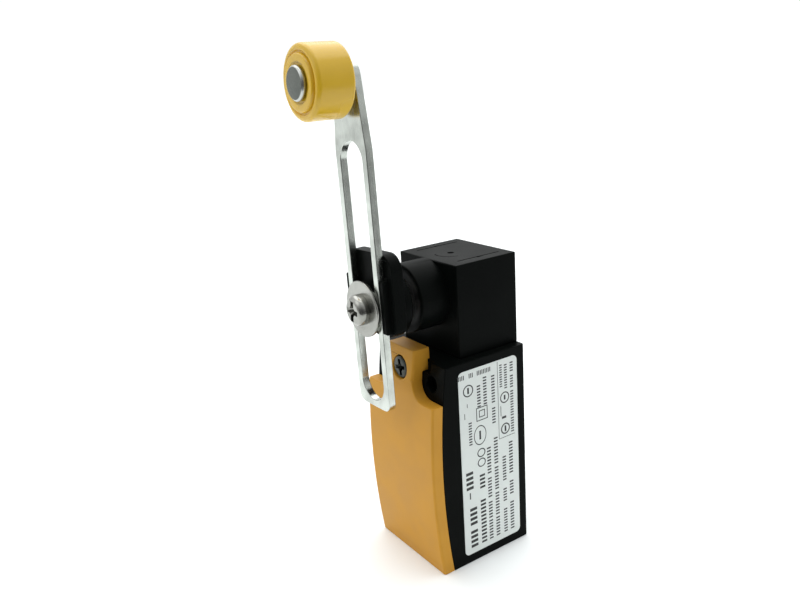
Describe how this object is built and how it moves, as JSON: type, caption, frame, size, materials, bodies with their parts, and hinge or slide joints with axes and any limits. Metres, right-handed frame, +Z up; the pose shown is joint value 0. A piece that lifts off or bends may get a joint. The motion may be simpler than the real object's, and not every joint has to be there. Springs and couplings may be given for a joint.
{
  "type": "limit switch",
  "caption": "Plastic limit switch with a side-swinging slotted lever that carries a roller and adjusts in length, two fixing holes and a conduit entry.",
  "frame": {"origin": "on the mounting plane, the flat back of the case, midway between the two fixing holes", "axes": "+Z up along the case towards the head, +Y into the panel it is mounted on, +X to the right of someone facing the cover"},
  "size_m": [0.0311, 0.0542, 0.1435],
  "materials": {
    "case_black": "moulded glass-filled nylon, fine satin grain",
    "cover_yellow": "moulded nylon, satin amber yellow",
    "roller_yellow": "turned polyamide, semi-gloss golden yellow",
    "label_film": "printed polyester film",
    "lever_steel": "bright nickel-plated steel",
    "washer_steel": "zinc-plated steel",
    "pin_steel": "turned steel, bright chamfer",
    "dark_screw": "blackened steel",
    "plated_steel": "zinc-plated steel",
    "spring_steel": "bright spring steel",
    "bearing_bronze": "sintered bronze",
    "contact_brass": "stamped brass",
    "seal_rubber": "nitrile rubber",
    "inner_black": "moulded acetal",
    "inner_white": "moulded acetal, natural white",
    "block_grey": "moulded thermoset, grey"
  },
  "bodies": {
    "case": {"housing": "case_black", "front_cover": "cover_yellow", "cover_gasket": "seal_rubber", "cover_screw": "dark_screw", "rating_label": "label_film", "head_housing": "case_black", "head_base": "inner_black", "head_clip": "spring_steel", "shaft_bushing": "bearing_bronze", "shaft_seal": "seal_rubber", "return_spring": "spring_steel", "contact_block": "block_grey", "nc_contacts": "contact_brass", "no_contacts": "contact_brass", "terminal_washers": "plated_steel", "terminal_screws": "plated_steel", "block_screws": "plated_steel"},
    "swing": {"shaft": "plated_steel", "shaft_clip": "spring_steel", "cam": "inner_white", "hub": "case_black", "clamp_washer": "washer_steel", "spring_disc": "washer_steel", "clamp_screw": "washer_steel"},
    "lever": {"slotted_lever": "lever_steel", "roller_pin": "pin_steel", "roller_washer": "washer_steel"},
    "roller": {"roller": "roller_yellow"},
    "plunger": {"push_rod": "inner_white", "contact_carrier": "inner_white", "nc_bridge": "contact_brass", "no_bridge": "contact_brass", "contact_springs": "spring_steel"}
  },
  "joints": [
    {"name": "lever_swing", "type": "hinge", "parent": "case", "child": "swing", "pos_m": [0, -0.0294, 0.0218], "axis": [0, 1, 0], "range_deg": [-75, 75], "stiffness_Nm_per_rad": 0.12},
    {"name": "lever_length", "type": "slide", "parent": "swing", "child": "lever", "axis": [-0.0332, 0, 0.9995], "range_m": [-0.036, 0.0205]},
    {"name": "roller_spin", "type": "hinge", "parent": "lever", "child": "roller", "pos_m": [-0.0019, -0.049, 0.07897], "axis": [0, 1, 0], "continuous": true},
    {"name": "push_rod_travel", "type": "slide", "parent": "case", "child": "plunger", "axis": [0, 0, -1], "range_m": [0, 0.0021], "stiffness_N_per_m": 1500, "springref_m": -0.002, "deforming": ["return_spring"]}
  ]
}
